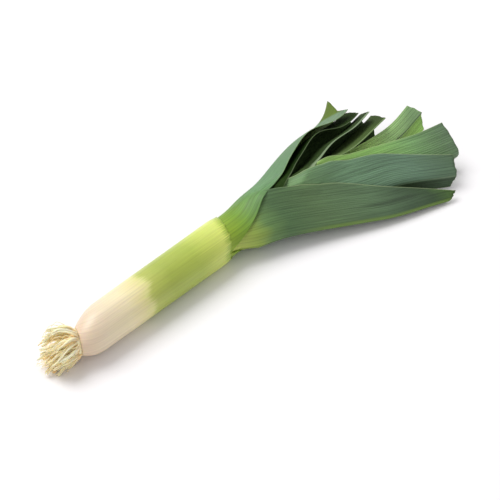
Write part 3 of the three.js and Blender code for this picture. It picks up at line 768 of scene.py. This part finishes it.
# ---- Roots ----
ROOT_SEED = 41
ROOT_LENGTH = 40
OUTER_ROOT_LOSS = 0.35   # how much shorter the outermost roots are
ROOT_SINK = 2            # the roots start this deep inside the plate
ROOT_DISC = 11           # and on a disc of this radius
ROOT_CROWN = 8           # the plate's face bulges out by this much among the roots
ROOT_FLARE = 1.05        # outward lean of the outermost roots where they start, in radians
ROOT_CURL = 1.2          # above 1 the roots curl back in before they end
ROOT_SAG = 9
ROOT_TUCK = 0.45         # how much less the roots flare low down on the right
ROOT_TUCK_BEARING = 1.2 * math.pi
ROOT_STEPS = 12
ROOT_LOW = 0.9           # the middle line of a root comes no nearer to the table
ROOT_LOCKS = 44          # roots cling together in locks
LOCK_STRANDS = 5
LOCK_SPREAD = 1.5
LOCK_WAVE = 1.8          # how far a root's path wavers
STRAND_RADII = (0.65, 1.05)
STRAND_SIDES = 7
STRAY_ROOTS = 110
STRAY_WAVE = 3.2
STRAY_RADII = (0.28, 0.45)
STRAY_SIDES = 5
PLATE_SIDES = 48
AXIS_RADIUS = 0.01       # where a turned profile meets its axis
GOLDEN_ANGLE = math.pi * (3 - math.sqrt(5))


def strand(points, radius, taper, sides, start):
    """A tapering closed strand through the points, as vertices and faces numbered from start."""
    points = np.asarray(points)
    tangents = np.gradient(points, axis=0)
    tangents /= np.linalg.norm(tangents, axis=1, keepdims=True)
    across = np.cross([0.0, 0.0, 1.0], tangents)
    across /= np.maximum(np.linalg.norm(across, axis=1, keepdims=True), 1e-6)
    up = np.cross(tangents, across)
    rows = len(points)
    size = radius * (1 - taper * np.linspace(0, 1, rows) ** 1.5)
    turn = np.linspace(0, 2 * math.pi, sides, endpoint=False)
    ring = np.cos(turn)[None, :, None] * across[:, None, :] + np.sin(turn)[None, :, None] * up[:, None, :]
    vertices = points[:, None, :] + ring * size[:, None, None]
    faces = []
    for row in range(rows - 1):
        for side in range(sides):
            a = start + row * sides + side
            b = start + row * sides + (side + 1) % sides
            faces.append((a, b, b + sides, a + sides))
    faces.append(tuple(start + side for side in reversed(range(sides))))
    faces.append(tuple(start + (rows - 1) * sides + side for side in range(sides)))
    return vertices.reshape(-1, 3), faces


def turned_to_face(points):
    """From the roots' own frame, with the plate's face at x = 0, to the slanted face of the plate."""
    points = np.asarray(points, float)
    turn = math.atan(BASE_SLANT)
    x, y = points[..., 0], points[..., 1]
    moved = points.copy()
    moved[..., 0] = x * math.cos(turn) + y * math.sin(turn) + PLATE_FACE_X
    moved[..., 1] = y * math.cos(turn) - x * math.sin(turn)
    return moved


def root_path(rng, share, bearing, length, wavering):
    """A root bends outwards the more the further out it starts, wavers, and curls back in."""
    tucked = 1 - ROOT_TUCK * max(0.0, math.cos(bearing - ROOT_TUCK_BEARING))
    lean = ROOT_FLARE * share * tucked + rng.uniform(-0.14, 0.14)
    swirl = rng.uniform(-0.45, 0.45)
    phase = [rng.uniform(0, 2 * math.pi) for _ in range(4)]
    pace = [rng.uniform(3.5, 8.0) for _ in range(2)]
    step = length / ROOT_STEPS
    reach = -ROOT_SINK
    radius = ROOT_DISC * share
    points = []
    for k in range(ROOT_STEPS + 1):
        t = k / ROOT_STEPS
        turn = bearing + swirl * t
        wave = wavering * t
        x = -reach + wave * 0.5 * math.sin(pace[0] * t + phase[0])
        y = radius * math.cos(turn) + wave * math.sin(pace[0] * t + phase[1])
        z = axis_height(0) + radius * math.sin(turn) - ROOT_SAG * t * t
        z += wave * math.sin(pace[1] * t + phase[2])
        points.append((max(x, ROOT_SINK - ROOT_LENGTH), y, max(ROOT_LOW, z)))
        reach += step * math.cos(lean * (1 - ROOT_CURL * t))
        radius += step * math.sin(lean * (1 - ROOT_CURL * t))
    return points


def build_roots(material):
    rng = random.Random(ROOT_SEED)
    vertices, faces, tint, tipness = [], [], [], []
    count = 0

    def add(points, radius, taper, sides, shade):
        nonlocal count
        made, new_faces = strand(turned_to_face(points), radius, taper, sides, count)
        vertices.append(made)
        faces.extend(new_faces)
        tint.append(np.full(len(made), shade))
        tipness.append(np.repeat(np.linspace(0, 1, len(points)), sides))
        count += len(made)

    def lock_strand(path, reach):
        """A strand beside the lock's own path, as far as the given share of it."""
        side, lag = rng.uniform(0, 2 * math.pi), rng.uniform(0, 2 * math.pi)
        spread = LOCK_SPREAD * math.sqrt(rng.random())
        steps = np.arange(len(path))
        places = np.linspace(0, (len(path) - 1) * reach, len(path))
        points = np.stack([np.interp(places, steps, path[:, axis]) for axis in range(3)], axis=1)
        t = np.linspace(0, 1, len(path))
        turn = side + 0.9 * np.sin(3 * t + lag)
        width = spread * (1 - 0.35 * t)
        points[:, 1] += width * np.cos(turn)
        points[:, 2] = np.maximum(ROOT_LOW, points[:, 2] + width * np.sin(turn))
        return points

    for k in range(ROOT_LOCKS):
        share = math.sqrt((k + 0.5) / ROOT_LOCKS)
        length = rng.uniform(0.86, 1.02) * ROOT_LENGTH * (1 - OUTER_ROOT_LOSS * share)
        bearing = k * GOLDEN_ANGLE + rng.uniform(-0.3, 0.3)
        path = np.array(root_path(rng, share, bearing, length, LOCK_WAVE))
        # a random tone, plus painted light and shade: the upper locks come out lighter and the lower ones
        # darker
        shade = 0.1 + 0.8 * rng.random() + 0.15 * math.sin(bearing)
        for _ in range(LOCK_STRANDS):
            strand_shade = clamp01(shade + rng.uniform(-0.2, 0.2))
            points = lock_strand(path, rng.uniform(0.8, 1.0))
            add(points, rng.uniform(*STRAND_RADII), 0.5, STRAND_SIDES, strand_shade)
    for k in range(STRAY_ROOTS):
        share = math.sqrt(rng.random())
        length = rng.uniform(0.5, 1.0) * ROOT_LENGTH * (1 - OUTER_ROOT_LOSS * share)
        path = root_path(rng, share, rng.uniform(0, 2 * math.pi), length, STRAY_WAVE)
        add(path, rng.uniform(*STRAY_RADII), 0.6, STRAY_SIDES, rng.random())

    def bore(x):
        return shaft_radius(x) - SHEATH_WALL - 2 * CLEARANCE

    def turned(profile, carry, root_end):
        """A body of revolution about the leek's middle line, put in its place by carry()."""
        nonlocal count
        sides = PLATE_SIDES
        turn = np.linspace(0, 2 * math.pi, sides, endpoint=False)
        rings = [[(x, r * math.cos(a), axis_height(0) + r * math.sin(a)) for a in turn] for x, r in profile]
        for row in range(len(profile) - 1):
            for side in range(sides):
                a = count + row * sides + side
                b = count + row * sides + (side + 1) % sides
                faces.append((a, a + sides, b + sides, b))
        faces.append(tuple(count + side for side in range(sides)))
        faces.append(tuple(count + (len(profile) - 1) * sides + side for side in reversed(range(sides))))
        made = carry(np.array(rings).reshape(-1, 3))
        vertices.append(made)
        tint.append(np.full(len(made), 0.6))
        tipness.append(np.full(len(made), root_end))
        count += len(made)

    plate = [(PLATE_FACE_X, AXIS_RADIUS), (PLATE_FACE_X, ROOT_DISC - 0.5),
             (PLATE_FACE_X + 0.6, ROOT_DISC + 0.2), (FOOT_X - 1, NECK_RADIUS),
             (FOOT_X - 0.4, NECK_RADIUS - 0.2), (FOOT_X - CLEARANCE, bore(FOOT_X)), (-2, bore(-2)),
             (2, bore(2)), (PLATE_TOP_X, bore(PLATE_TOP_X)), (PLATE_TOP_X, AXIS_RADIUS)]
    crown = [(-ROOT_CROWN, AXIS_RADIUS), (-ROOT_CROWN, ROOT_DISC * 0.35),
             (-ROOT_CROWN * 0.5, ROOT_DISC * 0.8), (0, ROOT_DISC), (ROOT_SINK, ROOT_DISC),
             (ROOT_SINK, AXIS_RADIUS)]
    turned(plate, slanted, 0.4)
    turned(crown, turned_to_face, 0.0)
    attributes = {"tint": np.concatenate(tint), "tipness": np.concatenate(tipness)}
    add_piece("root_tuft", np.concatenate(vertices), faces, attributes, material,
              "basal_plate_and_roots")


def root_material():
    n = Nodes("root_skin")
    tint = n.attribute("tint")
    tipness = n.attribute("tipness")
    base = n.ramp(tint, [(0.0, linear(240, 200, 138)), (0.35, linear(254, 234, 180)),
                         (0.7, linear(255, 244, 198)), (1.0, linear(255, 249, 210))])
    coordinates = n.tree.nodes.new("ShaderNodeTexCoord").outputs["Object"]
    grime = n.noise(coordinates, 260.0, 4)
    base = n.mix(n.rise(grime, 0.52, 0.78, 0.0, 0.3), base, linear(222, 176, 108))
    base = n.mix(n.math("SUBTRACT", 0.45, tipness, clamp=True), base, linear(222, 166, 104))
    n.link(base, n.shader.inputs["Base Color"])
    n.link(n.rise(grime, 0.3, 0.7, 0.6, 0.85), n.shader.inputs["Roughness"])
    n.link(n.bump(grime, 0.4, SKIN_BUMP), n.shader.inputs["Normal"])
    n.shader.inputs["Subsurface Weight"].default_value = 0.25
    n.shader.inputs["Subsurface Radius"].default_value = (1.0, 0.6, 0.25)
    n.shader.inputs["Subsurface Scale"].default_value = SKIN_DEPTH
    return n.material


# ---- The heart: the youngest leaf, rolled up solid ----
HEART_SIDES = 20
NO_EDGE = 9.0             # so far from a margin that no band shows


def build_heart(material):
    shell = LEAVES[-1]["shell"] + 1
    foot = leaf_foot_x(shell)
    profile = [(foot, POINT_RADIUS), (foot, shell_radius(shell, foot) - CLEARANCE),
               (SHOULDER_TOP_X, shell_radius(shell, SHOULDER_TOP_X) - CLEARANCE),
               (HEART_TAPER_X, shell_radius(shell, HEART_TAPER_X) - 2 * CLEARANCE), HEART_NECK,
               (HEART_TIP_X, POINT_RADIUS)]
    sides = HEART_SIDES
    vertices, faces = [], []
    for x, radius in profile:
        for side in range(sides):
            turn = 2 * math.pi * side / sides
            vertices.append((x, radius * math.cos(turn), axis_height(x) + radius * math.sin(turn)))
    for row in range(len(profile) - 1):
        for side in range(sides):
            a, b = row * sides + side, row * sides + (side + 1) % sides
            faces.append((a, a + sides, b + sides, b))
    faces.append(tuple(range(sides)))
    faces.append(tuple((len(profile) - 1) * sides + side for side in reversed(range(sides))))
    xs = np.array([v[0] for v in vertices])
    attributes = {"along": xs, "across": np.zeros(len(xs)),
                  "to_cut": HEART_TIP_X - xs, "lining": np.zeros(len(xs)), "edge": np.full(len(xs), NO_EDGE)}
    add_piece("heart_leaf_skin", slanted(vertices), faces, attributes, material, "heart_leaf")


# ---- The pieces ----
PALE_FOOT = [(0, (240, 236, 200)), (140, (190, 206, 100))]
# A tint is the x where it is reached and its colour. leaf_material() says what the rest means.
LOOKS = {
    "outer_sheath": dict(
        # the lighter lime from about x 136 to 168, just before the cut, is the sheath's own green brightened
        # by painted highlight
        tints=[(0, (228, 206, 178)), (18, (232, 216, 186)), (40, (238, 226, 184)), (54, (234, 224, 166)),
               (62, (224, 222, 146)), (68, (184, 194, 92)), (88, (166, 182, 72)), (118, (174, 192, 76)),
               (136, (198, 212, 96)), (156, (214, 226, 112)), (168, (206, 220, 96))],
        lit_margin_band=(1.0, (200, 214, 150), 0.0), keel_band=(1.0, (200, 214, 150), 0.0),
        cut_band=(8, (146, 178, 46), 0.8), rib_contrast=0.045, roughness=0.38, specular=0.5,
        subsurface=0.25, coat=0.25),
    # leaf_left_1: its yellow-green tip corner is a painted glow of light shining through the leaf
    "leaf_left_1": dict(
        tints=PALE_FOOT + [(160, (136, 166, 44)), (176, (116, 154, 46)), (192, (104, 146, 72)),
                           (215, (98, 142, 90)), (240, (98, 138, 94)), (300, (106, 140, 100)),
                           (350, (108, 136, 104))],
        lining=(104, 138, 60), lit_margin_band=(0.9, (150, 172, 120), 0.3),
        backlit_tip_corner=(327, 0.62, (84, 110, 0))),
    # leaf_right_1: the darker streaky patch on it is painted shade
    "leaf_right_1": dict(
        tints=PALE_FOOT + [(160, (178, 194, 92)), (178, (150, 174, 76)), (196, (100, 134, 76)),
                           (212, (78, 109, 68)), (240, (90, 118, 76)), (290, (88, 116, 82)),
                           (315, (70, 94, 66)), (335, (60, 84, 54)), (350, (76, 106, 56)),
                           (365, (82, 116, 50))],
        keel_band=(2.6, (108, 140, 56), 0.8), shade_patch=(304, 15, 30, 3.2, 0.4)),
    # leaf_left_2: its tints darken from x 215 on and its lining is dark: painted shade from the leaves
    # outside it; its thin pale margin line is painted light
    "leaf_left_2": dict(
        tints=PALE_FOOT + [(185, (100, 126, 54)), (215, (48, 72, 28)), (260, (28, 48, 16)),
                           (300, (34, 54, 20)), (335, (40, 58, 26)), (360, (38, 52, 26))],
        lining=(66, 90, 48), lit_margin_band=(0.8, (138, 156, 118), 0.4), roughness=0.7, specular=0.04),
    "leaf_right_2": dict(
        tints=PALE_FOOT + [(180, (126, 156, 78)), (225, (114, 152, 92)), (280, (108, 144, 108)),
                           (340, (102, 134, 108)), (366, (92, 120, 92)), (380, (84, 110, 80))],
        # the darker lower half is painted shade
        lower_tints=PALE_FOOT + [(220, (96, 118, 70)), (300, (72, 96, 66)), (380, (62, 86, 58))],
        keel_band=(0.8, (138, 160, 122), 0.35), rib_contrast=0.17),
    # leaf_left_3: its dark tints from x 215 on and its dark lining are painted shade from the leaves outside
    # it; the wide pale margin band is painted light, where the blade's edge reaches into the light
    "leaf_left_3": dict(
        tints=PALE_FOOT + [(185, (110, 134, 60)), (215, (60, 84, 36)), (260, (48, 66, 32)),
                           (320, (56, 76, 40)), (365, (48, 64, 34))],
        lining=(62, 84, 46), lit_margin_band=(4.4, (136, 156, 122), 0.8), roughness=0.7, specular=0.08),
    "leaf_right_3": dict(
        tints=PALE_FOOT + [(200, (134, 172, 76)), (260, (138, 180, 88)), (320, (136, 184, 98)),
                           (352, (128, 172, 110)), (375, (112, 146, 100)), (392, (104, 132, 98))],
        lining=(50, 70, 40), keel_band=(0.8, (138, 160, 122), 0.3), rib_contrast=0.17),
    # leaf_left_4: its darkening tints from x 230 on and its dark lining are painted shade from the leaves
    # outside it; the pale margin band is painted light, where the blade's edge reaches into the light
    "leaf_left_4": dict(
        tints=PALE_FOOT + [(190, (130, 156, 72)), (230, (96, 122, 58)), (290, (92, 114, 66)),
                           (340, (72, 92, 48)), (372, (54, 72, 36))],
        lining=(58, 80, 40), lit_margin_band=(2.2, (134, 158, 108), 0.6), roughness=0.7, specular=0.08),
    "leaf_right_4": dict(
        # leaf_right_4: the tints from x 285 to 356 are brightened as painted light over the shadow
        # leaf_left_4 casts on it, and the lighter lower half is painted light too
        tints=PALE_FOOT + [(210, (160, 196, 92)), (285, (190, 250, 118)), (335, (206, 255, 144)),
                           (356, (176, 220, 138)), (395, (136, 174, 118)), (410, (136, 172, 116))],
        lower_tints=PALE_FOOT + [(210, (160, 196, 92)), (330, (164, 204, 100)), (410, (140, 188, 92))],
        # the dark keel band is painted shade in the crease of the fold
        lining=(60, 88, 40), keel_band=(0.9, (44, 64, 30), 0.65), roughness=0.5),
}
HEART_LOOK = dict(tints=PALE_FOOT + [(240, (150, 180, 90))])
MATERIALS = {name: leaf_material(name + "_look", seed + 1.0, **look)
             for seed, (name, look) in enumerate(LOOKS.items())}
for index, leaf in enumerate(LEAVES):
    build_leaf(index, MATERIALS[leaf["name"]])
build_heart(leaf_material("heart_leaf_look", 10.0, **HEART_LOOK))
build_roots(root_material())


# ---- Floor, light and camera ----
FLOOR_REACH = 4.0


def add_floor():
    mesh = bpy.data.meshes.new("floor")
    corners = [(a * FLOOR_REACH, b * FLOOR_REACH, 0) for a, b in ((-1, -1), (1, -1), (1, 1), (-1, 1))]
    mesh.from_pydata(corners, [], [(0, 1, 2, 3)])
    floor = bpy.data.objects.new("floor", mesh)
    bpy.context.scene.collection.objects.link(floor)
    n = Nodes("floor_white")
    n.shader.inputs["Base Color"].default_value = (0.93, 0.925, 0.93, 1)
    n.shader.inputs["Roughness"].default_value = 0.9
    n.shader.inputs["Specular IOR Level"].default_value = 0.1
    mesh.materials.append(n.material)


def add_light(name, direction, distance, size, power):
    """A square softbox that looks at the leek's middle from the given direction."""
    data = bpy.data.lights.new(name, "AREA")
    data.shape = "SQUARE"
    data.size = size
    data.energy = power
    light = bpy.data.objects.new(name, data)
    bpy.context.scene.collection.objects.link(light)
    towards = Vector(direction).normalized()
    light.location = towards * distance
    light.rotation_euler = towards.to_track_quat("Z", "Y").to_euler()


VIEW_AZIMUTH = degrees(46)
VIEW_ELEVATION = degrees(44)
VIEW_DISTANCE = 1.63
VIEW_TARGET = (181.7, -13.0, 0.0)
LENS = 135
SENSOR_WIDTH = 36


def add_camera():
    data = bpy.data.cameras.new("camera")
    data.lens = LENS
    data.sensor_width = SENSOR_WIDTH
    data.clip_end = 50
    camera = bpy.data.objects.new("camera", data)
    bpy.context.scene.collection.objects.link(camera)
    flat = math.cos(VIEW_ELEVATION)
    back = Vector((-math.sin(VIEW_AZIMUTH) * flat, -math.cos(VIEW_AZIMUTH) * flat,
                   math.sin(VIEW_ELEVATION)))
    target = Vector(place(VIEW_TARGET))
    camera.location = target + back * VIEW_DISTANCE
    camera.rotation_euler = back.to_track_quat("Z", "Y").to_euler()
    bpy.context.scene.camera = camera


add_floor()
add_light("key", (-0.10, 0.50, 0.85), 3.2, 2.1, 78)
world = bpy.data.worlds.new("studio")
world.use_nodes = True
world.node_tree.nodes["Background"].inputs["Color"].default_value = (1, 0.97, 0.99, 1)
world.node_tree.nodes["Background"].inputs["Strength"].default_value = 0.6
bpy.context.scene.world = world
bpy.context.scene.view_settings.view_transform = "Standard"
add_camera()
